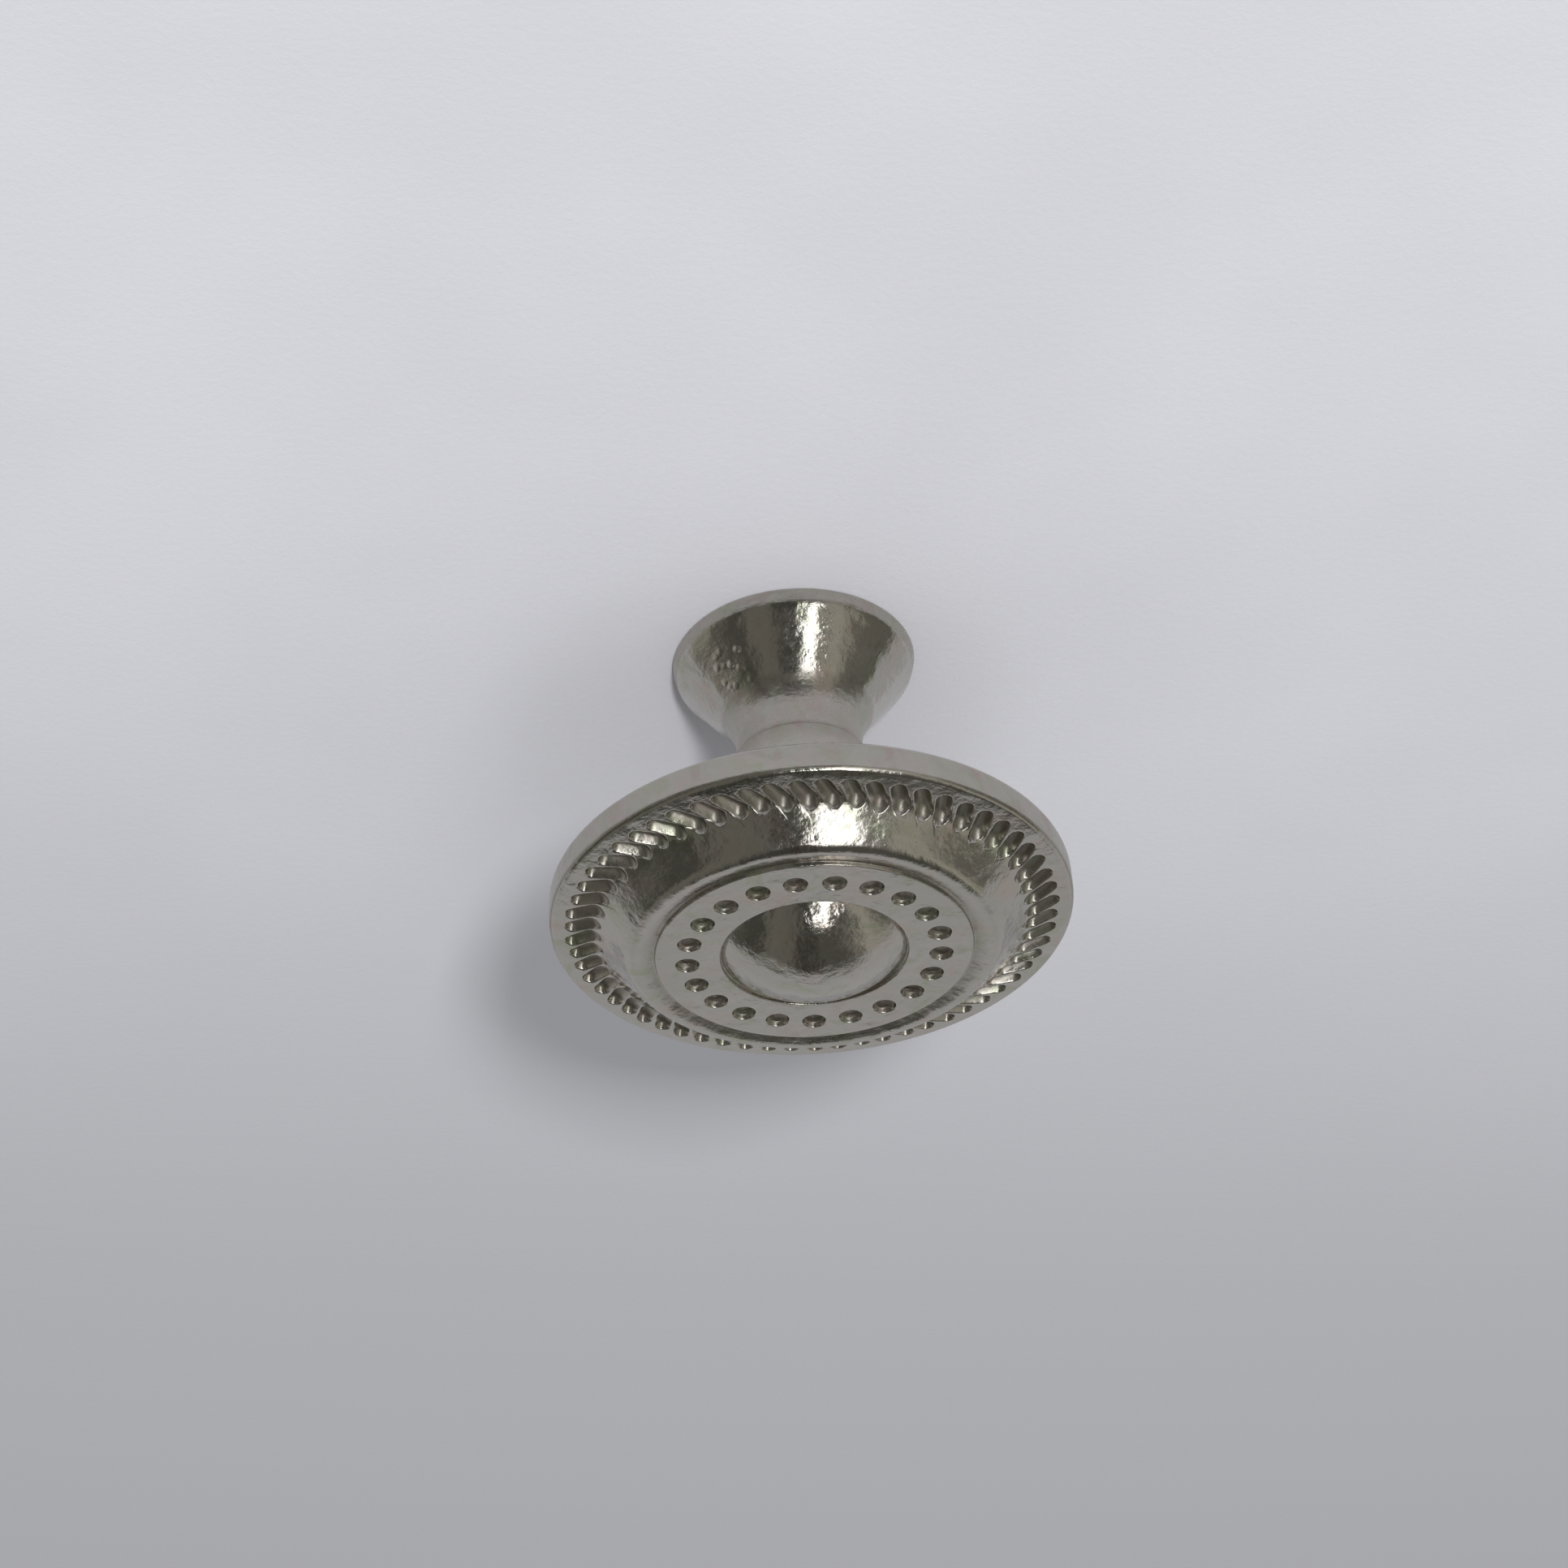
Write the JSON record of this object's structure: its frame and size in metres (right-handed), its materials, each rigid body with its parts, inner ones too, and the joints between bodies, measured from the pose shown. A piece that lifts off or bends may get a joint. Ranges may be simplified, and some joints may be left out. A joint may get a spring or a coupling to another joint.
{
  "type": "cabinet knob",
  "caption": "Round cabinet knob with a roped border, a ring of dimples and a domed centre, on a flared foot tapped for a screw.",
  "frame": {"origin": "centre of the flat mounting face at the back of the foot, on the knob's axis", "axes": "+Z along the knob's axis, from the mounting face towards the decorated face; the first dimple is on the -Y side"},
  "size_m": [0.032, 0.032, 0.0244],
  "materials": {
    "satin_nickel": "satin nickel plate on zinc die casting, worn and slightly tarnished"
  },
  "bodies": {
    "root": {"knob": "satin_nickel"}
  },
  "joints": []
}
